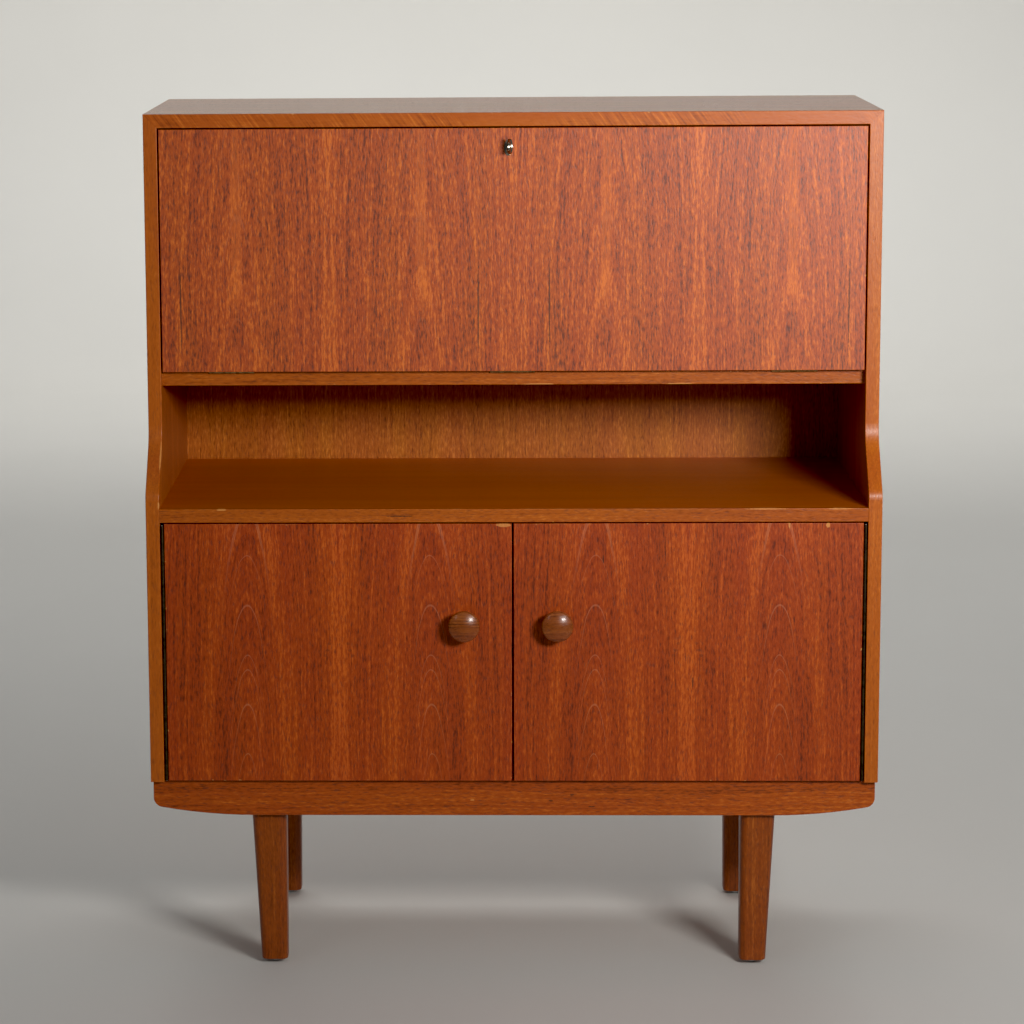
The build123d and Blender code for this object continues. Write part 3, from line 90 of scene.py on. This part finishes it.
class Look:
    """One material being built. Each method adds nodes and returns an output socket."""

    def __init__(self, name, **uniform):
        self.material = bpy.data.materials.new(name)
        self.material.use_nodes = True
        self.tree = self.material.node_tree
        self.shader = self.tree.nodes["Principled BSDF"]
        for socket, value in uniform.items():
            self.shader.inputs[socket.replace("_", " ")].default_value = value
        self.place = self.add("TexCoord").outputs["Object"]

    def add(self, kind, inputs=(), **settings):
        node = self.tree.nodes.new("ShaderNode" + kind)
        for setting, value in settings.items():
            setattr(node, setting, value)
        for key, value in dict(inputs).items():
            self.feed(node.inputs[key], value)
        return node

    def feed(self, socket, value):
        if isinstance(value, bpy.types.NodeSocket):
            self.tree.links.new(value, socket)
        else:
            socket.default_value = value

    def math(self, operation, *values):
        node = self.add("Math", operation=operation)
        for socket, value in zip(node.inputs, values):
            self.feed(socket, value)
        return node.outputs[0]

    def plus(self, value, change, amount):
        """value with amount times (change - 0.5) added, so that a noise pushes both ways."""
        centred = self.math("SUBTRACT", change, 0.5)
        return self.math("MULTIPLY_ADD", centred, amount, value)

    def axes(self, vector):
        return self.add("SeparateXYZ", {0: vector}).outputs

    def vector(self, x, y, z):
        return self.add("CombineXYZ", {0: x, 1: y, 2: z}).outputs[0]

    def noise(self, vector, stretch, detail, roughness, shift=0.0):
        """Noise from 0 to 1 whose features are 1/stretch metres long on each axis."""
        node = self.add("VectorMath", operation="MULTIPLY_ADD")
        self.feed(node.inputs[0], vector)
        self.feed(node.inputs[1], stretch)
        self.feed(node.inputs[2], (shift, 1.7 * shift, 2.3 * shift))
        settings = {"Vector": node.outputs[0], "Scale": 1.0, "Detail": detail, "Roughness": roughness}
        return self.add("TexNoise", settings).outputs[0]

    def noise_line(self, value, scale, detail, roughness):
        settings = {"W": value, "Scale": scale, "Detail": detail, "Roughness": roughness}
        return self.add("TexNoise", settings, noise_dimensions="1D").outputs[0]

    def step(self, value, low, high):
        """0 below low, 1 above high, smooth between them."""
        settings = {"Value": value, "From Min": low, "From Max": high}
        return self.add("MapRange", settings, interpolation_type="SMOOTHSTEP").outputs[0]

    def fade(self, value, low, high):
        """1 below low, 0 above high, smooth between them."""
        return self.math("SUBTRACT", 1.0, self.step(value, low, high))

    def apart(self, value, other):
        return self.math("ABSOLUTE", self.math("SUBTRACT", value, other))

    def ramp(self, value, *tones):
        """Colours spread evenly over 0 to 1."""
        node = self.add("ValToRGB", {0: value})
        node.color_ramp.interpolation = "B_SPLINE"
        stops = node.color_ramp.elements
        while len(stops) < len(tones):
            stops.new(0.5)
        for index, (stop, tone) in enumerate(zip(stops, tones)):
            stop.position = index / (len(tones) - 1)
            stop.color = (*tone, 1.0)
        return node.outputs[0]

    def blend(self, factor, first, second, mode="MIX"):
        node = self.add("Mix", data_type="RGBA", blend_type=mode)
        self.feed(node.inputs[0], factor)
        for socket, colour in ((node.inputs[6], first), (node.inputs[7], second)):
            self.feed(socket, colour if isinstance(colour, bpy.types.NodeSocket) else (*colour, 1.0))
        return node.outputs[2]

    def edge(self, node_name, reach):
        """1 on the edges of a board's box and 0 further from them than reach."""
        low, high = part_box(node_name)
        place = self.axes(self.place)
        gaps = []
        for axis in range(3):
            from_low = self.math("SUBTRACT", place[axis], low[axis])
            from_high = self.math("SUBTRACT", high[axis], place[axis])
            gaps.append(self.math("MINIMUM", from_low, from_high))
        least = self.math("MINIMUM", gaps[0], gaps[1])
        most = self.math("MAXIMUM", gaps[0], gaps[1])
        middle = self.math("MAXIMUM", least, self.math("MINIMUM", most, gaps[2]))
        return self.fade(middle, 0.0, reach)

    def spot(self, u, v, centre, reach, ragged):
        """1 inside an ellipse with a ragged rim, 0 outside it."""
        across = self.math("DIVIDE", self.math("SUBTRACT", u, centre[0]), reach[0])
        along = self.math("DIVIDE", self.math("SUBTRACT", v, centre[1]), reach[1])
        squares = self.math("MULTIPLY_ADD", across, across, self.math("MULTIPLY", along, along))
        distance = self.plus(self.math("SQRT", squares), ragged, 0.9)
        return self.fade(distance, 0.7, 1.0)

    def finish(self, colour, roughness, height, relief, strength):
        self.feed(self.shader.inputs["Base Color"], colour)
        self.feed(self.shader.inputs["Roughness"], roughness)
        settings = {"Height": height, "Distance": relief, "Strength": strength}
        bump = self.add("Bump", settings)
        self.feed(self.shader.inputs["Normal"], bump.outputs[0])
        return self.material


def wood(
    name,
    along,
    across,
    tones,
    seed=0.0,
    fold=None,
    turned_leaf=False,
    cathedral=0.0,
    narrow=1.0,
    leaf_edge=0.0,
    arches=0.0,
    stripes=0.5,
    dashes=0.5,
    clouds=0.35,
    pores=0.5,
    ribbon=0.0,
    gloss=0.42,
    coat=0.0,
    level=0.35,
    worn=None,
    pairs=(),
    flecks=(),
):
    """Wood with its grain along one axis. fold mirrors the figure as book-matched veneer does.

    pairs are spots that the fold mirrors too, flecks are spots at plain places. Each spot is a colour,
    a centre and a half-width, both across and along the grain in metres, and a strength.
    """
    look = Look(name, Coat_Weight=coat, Coat_Roughness=COAT_ROUGHNESS, Specular_IOR_Level=level)
    place = look.axes(look.place)
    order = "XYZ"
    depth = (set(order) - {along, across}).pop()
    plain_u = place[across]
    v = place[along]
    w = place[depth]
    u = plain_u
    if fold is not None:
        u = look.apart(plain_u, fold)
        if turned_leaf:
            u = look.math("ADD", u, LEAF)
        u = look.math("PINGPONG", u, LEAF)
    folded = look.vector(u, v, w)
    plain = look.vector(plain_u, v, w)

    # the grain wanders slowly along its length
    slow = look.noise(folded, WANDER, 2.0, 0.5, seed)
    quick = look.noise(plain, QUIVER, 2.0, 0.5, seed + 3.0)
    bent = look.plus(look.plus(u, slow, WANDER_WIDTH), quick, QUIVER_WIDTH)

    # growth rings, cut so that they close in tall arches over the heart of the leaf
    from_heart = look.math("SUBTRACT", bent, HEART)
    rise = look.math("MULTIPLY_ADD", v, cathedral, ARCH_START)
    sideways = look.math("MULTIPLY", from_heart, narrow)
    spread = look.math("MULTIPLY_ADD", sideways, sideways, look.math("MULTIPLY", rise, rise))
    ring = look.math("MULTIPLY_ADD", w, RING_SLANT, look.math("SQRT", spread))
    rings = look.noise_line(look.math("ADD", ring, seed), RINGS, 3.0, 0.66)
    bands = look.noise_line(look.math("ADD", ring, seed + 0.5), BANDS, 2.0, 0.5)

    # fine short streaks, and slow clouds of tone
    fine = look.noise(plain, FINE_STREAKS, 2.0, 0.6, seed)
    long_lines = look.noise(look.vector(bent, v, w), LONG_STREAKS, 2.0, 0.6, seed + 9.0)
    cloud = look.noise(folded, TONE_CLOUDS, 2.0, 0.5, seed + 7.0)
    tone = look.plus(0.5, rings, RING_TONE * stripes)
    tone = look.plus(tone, bands, BAND_TONE * stripes)
    tone = look.plus(tone, fine, FINE_TONE * dashes)
    tone = look.plus(tone, long_lines, LONG_TONE * dashes)
    tone = look.plus(tone, cloud, clouds)
    if leaf_edge:
        beside = look.fade(look.math("SUBTRACT", LEAF, bent), 0.004, 0.016)
        tone = look.math("MULTIPLY_ADD", beside, leaf_edge, tone)
    if ribbon:
        leaning = look.math("MULTIPLY_ADD", plain_u, RIBBON_LEAN, v)
        curl = look.noise(look.vector(plain_u, leaning, w), RIBBON_CURL, 2.0, 0.5, seed)
        patch = look.step(look.noise(plain, RIBBON_PATCHES, 1.0, 0.5, seed + 1.0), 0.34, 0.56)
        centred = look.math("SUBTRACT", curl, 0.5)
        tone = look.math("MULTIPLY_ADD", centred, look.math("MULTIPLY", patch, ribbon), tone)
    colour = look.ramp(tone, tones[0], tones[1], tones[1], tones[2])

    # open pores: short dark dashes along the grain
    pore = look.noise(plain, OPEN_PORES, 2.0, 0.5, seed + 11.0)
    pore_mask = look.math("MULTIPLY", look.step(pore, 0.54, 0.72), pores)
    colour = look.blend(pore_mask, colour, PORE)

    # thin pale lines where the arches close over the heart
    if arches:
        layer = look.noise_line(look.math("ADD", ring, seed + 1.5), CRESTS, 1.0, 0.5)
        crest = look.fade(look.apart(layer, 0.5), 0.003, 0.016)
        near_heart = look.fade(look.math("ABSOLUTE", from_heart), 0.012, 0.034)
        crest = look.math("MULTIPLY", crest, look.math("MULTIPLY", near_heart, arches))
        colour = look.blend(crest, colour, PALE_LINE)

    # redder and yellower regions
    hue = look.noise(folded, HUE_CLOUDS, 2.0, 0.5, seed + 5.0)
    tint = look.blend(look.step(hue, 0.32, 0.68), REDDER, YELLOWER)
    colour = look.blend(HUE_STRENGTH, colour, tint, "MULTIPLY")

    # stains, chips and bright places
    ragged = look.noise(plain, RAGGED_RIMS, 2.0, 0.6, seed + 2.0)
    height = look.math("SUBTRACT", fine, pore_mask)
    rough = look.plus(gloss, fine, FINE_ROUGHNESS)
    for place_u, spots in ((u, pairs), (plain_u, flecks)):
        for kind, centre, reach, strength in spots:
            mask = look.math("MULTIPLY", look.spot(place_u, v, centre, reach, ragged), strength)
            colour = look.blend(mask, colour, kind)
            rough = look.math("MULTIPLY_ADD", mask, SPOT_ROUGHNESS, rough)

    # wear along the edges: rubbed places, and small chips
    if worn:
        rubbed = look.step(look.noise(plain, RUBBING, 3.0, 0.6, seed + 4.0), 0.46, 0.72)
        mask = look.math("MULTIPLY", look.edge(worn, RUB_REACH), rubbed)
        chipped = look.step(look.noise(plain, CHIPPING, 2.0, 0.5, seed + 6.0), 0.68, 0.74)
        chips = look.math("MULTIPLY", look.edge(worn, CHIP_REACH), chipped)
        mask = look.math("MAXIMUM", look.math("MULTIPLY", mask, RUB_STRENGTH), chips)
        colour = look.blend(mask, colour, WORN)
        rough = look.math("MULTIPLY_ADD", mask, WORN_ROUGHNESS, rough)
        height = look.math("SUBTRACT", height, look.math("MULTIPLY", chips, CHIP_DEPTH))
    return look.finish(colour, rough, height, WOOD_RELIEF, WOOD_BUMP)


def metal(name, clean, tarnished, gloss, brushed, amount=0.5):
    """Metal with tarnish in clouds, and fine scratches along one axis."""
    look = Look(name, Metallic=1.0)
    stretch = tuple(ALONG_SCRATCHES if axis == brushed else ACROSS_SCRATCHES for axis in "XYZ")
    lines = look.noise(look.place, stretch, 2.0, 0.5)
    cloud = look.noise(look.place, (160.0,) * 3, 3.0, 0.6, 4.0)
    tone = look.plus(look.step(cloud, 0.35, 0.75), lines, 0.3)
    colour = look.blend(look.math("MULTIPLY", tone, amount), clean, tarnished)
    rough = look.plus(look.plus(gloss, cloud, 0.18), lines, 0.1)
    return look.finish(colour, rough, lines, 0.00005, 0.3)


def moulded(name, fresh, dirty):
    """Moulded plastic with a fine grain, dulled in clouds."""
    look = Look(name)
    cloud = look.noise(look.place, (90.0,) * 3, 3.0, 0.6)
    grain = look.noise(look.place, (1500.0,) * 3, 1.0, 0.5)
    colour = look.blend(look.step(cloud, 0.35, 0.75), fresh, dirty)
    return look.finish(colour, look.plus(0.45, cloud, 0.2), grain, 0.00005, 0.4)


def paint(nodes, material):
    for node in nodes:
        NODES[node].data.materials.clear()
        NODES[node].data.materials.append(material)


# ---------------------------------------------------------------- woods
STREAK = (STAIN, (0.0465, 0.885), (0.0011, 0.062), 0.75)
BRIGHT_HEART = ((0.600, 0.135, 0.010), (HEART, 1.010), (0.0085, 0.150), 0.25)
paint(
    ["flap"],
    wood(
        "flap_teak", "Z", "X", FLAP_TEAK, 1.0, fold=FLAP_SEAM, cathedral=0.05, leaf_edge=0.30,
        arches=0.12, stripes=0.9, dashes=1.15, clouds=0.55, pores=0.45, gloss=0.47, level=0.5,
        worn="flap", pairs=(STREAK, BRIGHT_HEART),
    ),
)
BURL = tuple(
    (STAIN, (LEAF - inset, z), (0.0030, 0.0022), 0.30)
    for inset, z in ((0.0145, 0.438), (0.0120, 0.447), (0.0180, 0.431))
)
DOOR_FLECKS = {
    "left": (
        (CHIP, (-0.0120, 0.6050), (0.0110, 0.0030), 0.7),
        (STAIN, (-0.150, 0.520), (0.0010, 0.006), 0.6),
    ),
    "right": (
        (CHIP, (0.360, 0.6040), (0.0014, 0.0050), 0.7),
        (CHIP, (0.410, 0.6045), (0.0028, 0.0040), 0.8),
        (STAIN, (0.118, 0.560), (0.0010, 0.007), 0.7),
        (STAIN, (0.236, 0.395), (0.0012, 0.009), 0.7),
        (STAIN, (0.331, 0.470), (0.0010, 0.006), 0.6),
    ),
}
for side, middle in (("left", -DOOR_MIDDLE), ("right", DOOR_MIDDLE)):
    door = side + "_door"
    paint(
        [door],
        wood(
            door + "_teak", "Z", "X", DOOR_TEAK, 4.0, fold=middle, turned_leaf=True, cathedral=0.10,
            narrow=1.35, leaf_edge=0.25, arches=0.36, stripes=0.95, dashes=0.85, clouds=0.5, pores=0.5,
            gloss=0.42, worn=door, pairs=BURL, flecks=DOOR_FLECKS[side],
        ),
    )
CASE_BOARDS = ((["left_side", "right_side"], "Z", "Y"), (["writing_floor", "cabinet_bottom"], "X", "Y"))
for seed, (nodes, along, across) in enumerate(CASE_BOARDS):
    paint(
        nodes,
        wood(
            nodes[0] + "_teak", along, across, CASE_TEAK, 10.0 + seed, fold=CASE_FOLD, cathedral=0.05,
            stripes=0.8, dashes=0.8, worn=nodes[0],
        ),
    )
# The top panel: teak whose paler, greyer tones carry a painted sheen standing in for the wall's
# reflection.
paint(
    ["top_panel"],
    wood(
        "top_teak_and_painted_sheen", "X", "Y", TOP_TEAK_AND_PAINTED_SHEEN, 12.0, fold=CASE_FOLD, cathedral=0.05, stripes=1.0,
        gloss=0.30, level=0.6, worn="top_panel",
    ),
)
paint(
    ["niche_shelf"],
    wood("shelf_teak", "X", "Y", SHELF_TEAK, 15.0, cathedral=0.02, stripes=0.4, dashes=0.4, pores=0.2),
)
paint(
    ["back_panel"],
    wood(
        "niche_teak", "Z", "X", NICHE_TEAK, 17.0, fold=NICHE_FOLD, cathedral=0.06,
        stripes=0.6, dashes=1.0, pores=0.3,
    ),
)
paint(
    ["top_lipping"],
    wood(
        "top_lipping_teak", "X", "Z", LIPPING_TEAK, 20.0, stripes=0.2, dashes=0.3, pores=0.1, ribbon=2.2,
        gloss=0.36, worn="top_lipping",
    ),
)
LEFT_CHIPS = tuple(
    (CHIP, (-INNER_EDGE, z), (0.0012, half), 0.85) for z, half in ((0.690, 0.020), (0.632, 0.006))
)
for seed, (node, chips) in enumerate((("left_lipping", LEFT_CHIPS), ("right_lipping", ()))):
    paint(
        [node],
        wood(
            node + "_teak", "Z", "X", LIPPING_TEAK, 22.0 + seed, stripes=0.5, dashes=0.6, pores=0.3,
            gloss=0.36, level=0.4, flecks=chips,
        ),
    )
FLOOR_CHIPS = (
    (CHIP, (FLOOR_LIP_CHIP, 0.035), (0.0012, 0.025), 0.8),
    (CHIP, (FLOOR_LIP_CHIP, 0.220), (0.0012, 0.020), 0.8),
)
SHELF_CHIPS = (
    (CHIP, (SHELF_LIP_CHIP, -0.381), (0.0013, 0.008), 0.9),
    (STAIN, (0.6175, -0.1475), (0.0010, 0.0195), 0.75),
    (CHIP, (SHELF_LIP_CHIP, 0.330), (0.0010, 0.030), 0.7),
    (CHIP, (SHELF_LIP_CHIP, 0.425), (0.0010, 0.018), 0.7),
)
for seed, (node, chips) in enumerate((("floor_lipping", FLOOR_CHIPS), ("shelf_lipping", SHELF_CHIPS))):
    paint(
        [node],
        wood(
            node + "_teak", "X", "Z", LIP_TEAK, 25.0 + seed, stripes=0.6, dashes=0.8, pores=0.4,
            gloss=0.36, worn=node, flecks=chips,
        ),
    )
RAIL_FLECKS = (
    (STAIN, (0.232, 0.050), (0.0014, 0.0040), 0.7),
    (STAIN, (0.240, 0.078), (0.0012, 0.0030), 0.7),
    (STAIN, (0.224, 0.104), (0.0012, 0.0050), 0.7),
    (CHIP, (0.233, -0.054), (0.0012, 0.0030), 0.8),
)
paint(
    ["front_base_rail", "rear_base_rail"],
    wood(
        "rail_teak", "X", "Z", RAIL_TEAK, 28.0, stripes=0.8, dashes=0.8, pores=0.5, gloss=0.40,
        worn="front_base_rail", flecks=RAIL_FLECKS,
    ),
)
paint(["base_end_rails"], wood("end_rail_teak", "Y", "Z", RAIL_TEAK, 30.0, pores=0.5))
for seed, corner in enumerate(("front_left", "front_right", "rear_left", "rear_right")):
    leg = corner + "_leg"
    paint([leg], wood(leg + "_teak", "Z", "X", LEG_TEAK, 32.0 + seed, stripes=0.9, dashes=0.7, gloss=0.33))
for seed, side in enumerate(("left", "right")):
    knob, drawer = side + "_knob", side + "_drawer"
    paint(
        [knob],
        wood(
            knob + "_teak", "X", "Z", KNOB_TEAK, 37.0 + seed, stripes=1.5, dashes=0.5, pores=0.35,
            gloss=0.30, coat=0.2,
        ),
    )
    front = drawer + "_front"
    paint([front], wood(drawer + "_teak", "X", "Z", CASE_TEAK, 40.0 + seed, worn=front))
    paint([drawer + "_box"], wood(drawer + "_pale", "Y", "Z", PALE_WOOD, 42.0 + seed, pores=0.1))
paint(["fitment_uprights"], wood("upright_teak", "Z", "Y", CASE_TEAK, 44.0))
paint(["fitment_boards"], wood("fitment_teak", "X", "Y", CASE_TEAK, 45.0))
paint(["cabinet_shelf"], wood("cabinet_shelf_teak", "X", "Y", CASE_TEAK, 46.0, worn="cabinet_shelf"))
paint(["leg_bearers"], wood("bearer_wood", "Y", "X", PALE_WOOD, 47.0, pores=0.2))

# ---------------------------------------------------------------- metals and plastic
FITTING_BY_SLOT = {
    "dark_bronze": metal("dark_bronze", (0.070, 0.050, 0.030), (0.012, 0.009, 0.006), 0.45, "Z", 0.8),
    "brass": metal("brass", (0.560, 0.380, 0.160), (0.120, 0.075, 0.035), 0.34, "X", 0.8),
    "nickel": metal("nickel", (0.420, 0.380, 0.300), (0.060, 0.050, 0.036), 0.24, "X", 0.9),
    "steel": metal("steel", (0.560, 0.560, 0.550), (0.220, 0.210, 0.200), 0.34, "X"),
    "chrome": metal("chrome", (0.700, 0.700, 0.710), (0.260, 0.260, 0.270), 0.14, "X", 0.6),
    "catch_plastic": moulded("catch_plastic", (0.680, 0.620, 0.500), (0.460, 0.380, 0.260)),
}
for subpart in frame["record"]["subparts"]:
    if subpart["material_slot"] in FITTING_BY_SLOT:
        paint([subpart["node"]], FITTING_BY_SLOT[subpart["material_slot"]])

# ---------------------------------------------------------------- studio
# The floor curves up into a wall that stands further away than any view's camera.
FLOOR_NEAR, FLOOR_FAR, WALL_TOP, HALF_WIDTH = -22.0, 6.6, 8.0, 22.0
COVE_RADIUS, COVE_STEPS = 1.2, 24
PALE_PAPER, PALER_PAPER = (0.64, 0.63, 0.60), (0.68, 0.67, 0.64)
profile = [(FLOOR_NEAR, 0.0)]
for step in range(COVE_STEPS + 1):
    turn = step / COVE_STEPS * math.pi / 2
    cove_y = FLOOR_FAR - COVE_RADIUS + COVE_RADIUS * math.sin(turn)
    profile.append((cove_y, COVE_RADIUS - COVE_RADIUS * math.cos(turn)))
profile.append((FLOOR_FAR, WALL_TOP))
corners = [(x, y, z) for y, z in profile for x in (-HALF_WIDTH, HALF_WIDTH)]
faces = [(2 * i, 2 * i + 1, 2 * i + 3, 2 * i + 2) for i in range(len(profile) - 1)]
mesh = bpy.data.meshes.new("studio_sweep")
mesh.from_pydata(corners, [], faces)
for face in mesh.polygons:
    face.use_smooth = True
studio = bpy.data.objects.new("studio_sweep", mesh)
bpy.context.scene.collection.objects.link(studio)
paper = Look("studio_paper")
mottle = paper.noise(paper.place, (2.0,) * 3, 3.0, 0.5)
tooth = paper.noise(paper.place, (400.0,) * 3, 1.0, 0.5)
paper_colour = paper.blend(mottle, PALE_PAPER, PALER_PAPER)
paper_roughness = paper.plus(0.7, mottle, 0.1)
studio.data.materials.append(paper.finish(paper_colour, paper_roughness, tooth, 0.0002, 0.2))


def softbox(name, place, aim, width, height, power, colour, spread):
    """A rectangular lamp that isn't seen itself. Its power is in watts and its spread in degrees."""
    data = bpy.data.lights.new(name, "AREA")
    data.shape = "RECTANGLE"
    data.size = width
    data.size_y = height
    data.energy = power
    data.color = colour
    data.spread = math.radians(spread)
    light = bpy.data.objects.new(name, data)
    light.location = place
    light.visible_camera = False
    light.rotation_euler = (Vector(aim) - Vector(place)).to_track_quat("-Z", "Y").to_euler()
    bpy.context.scene.collection.objects.link(light)


softbox("key", (1.10, -2.15, 1.36), (0.36, -0.15, 1.22), 0.6, 0.36, 19.5, (1.0, 0.98, 0.95), 104.0)
softbox("upper_left", (-1.70, -2.30, 2.10), (0.0, -0.15, 0.70), 0.25, 0.9, 2.2, (0.95, 0.98, 1.0), 180.0)
softbox("wall_wash", (0.0, 4.2, 3.6), (0.0, 6.6, 1.4), 6.0, 0.6, 70.0, (1.0, 0.99, 0.96), 130.0)
softbox("rear", (0.0, 3.3, 4.4), (0.0, 2.7, 0.0), 6.0, 1.6, 68.0, (1.0, 0.99, 0.97), 150.0)

DAYLIGHT, DAYLIGHT_STRENGTH = (0.94, 0.97, 1.0, 1.0), 0.17
world = bpy.data.worlds.new("soft_daylight")
world.use_nodes = True
background = world.node_tree.nodes["Background"]
background.inputs["Color"].default_value = DAYLIGHT
background.inputs["Strength"].default_value = DAYLIGHT_STRENGTH
bpy.context.scene.world = world

# ---------------------------------------------------------------- camera
YAW, PITCH, ROLL = math.radians(-1.90), math.radians(-9.72), math.radians(-0.44)
CAMERA_PLACE = (-0.0222, -4.5634, 1.3941)
FOCAL_LENGTH, SENSOR_WIDTH = 119.49, 36.0  # millimetres
SHIFT_X, SHIFT_Y = 0.1245, -0.0168
BLACK_LEVEL = 0.006
forward = Vector((math.sin(YAW) * math.cos(PITCH), math.cos(YAW) * math.cos(PITCH), math.sin(PITCH)))
level = Vector((math.cos(YAW), -math.sin(YAW), 0.0))
upright = level.cross(forward)
right = level * math.cos(ROLL) + upright * math.sin(ROLL)
up = upright * math.cos(ROLL) - level * math.sin(ROLL)
lens = bpy.data.cameras.new("photo_camera")
lens.lens = FOCAL_LENGTH
lens.shift_x = SHIFT_X
lens.shift_y = SHIFT_Y
lens.sensor_width = SENSOR_WIDTH
camera = bpy.data.objects.new("photo_camera", lens)
turned = Matrix((right, up, -forward)).transposed().to_4x4()
camera.matrix_world = Matrix.Translation(CAMERA_PLACE) @ turned
bpy.context.scene.collection.objects.link(camera)
bpy.context.scene.camera = camera
view = bpy.context.scene.view_settings
view.view_transform = "Standard"
view.use_curve_mapping = True
view.curve_mapping.black_level = (BLACK_LEVEL,) * 3
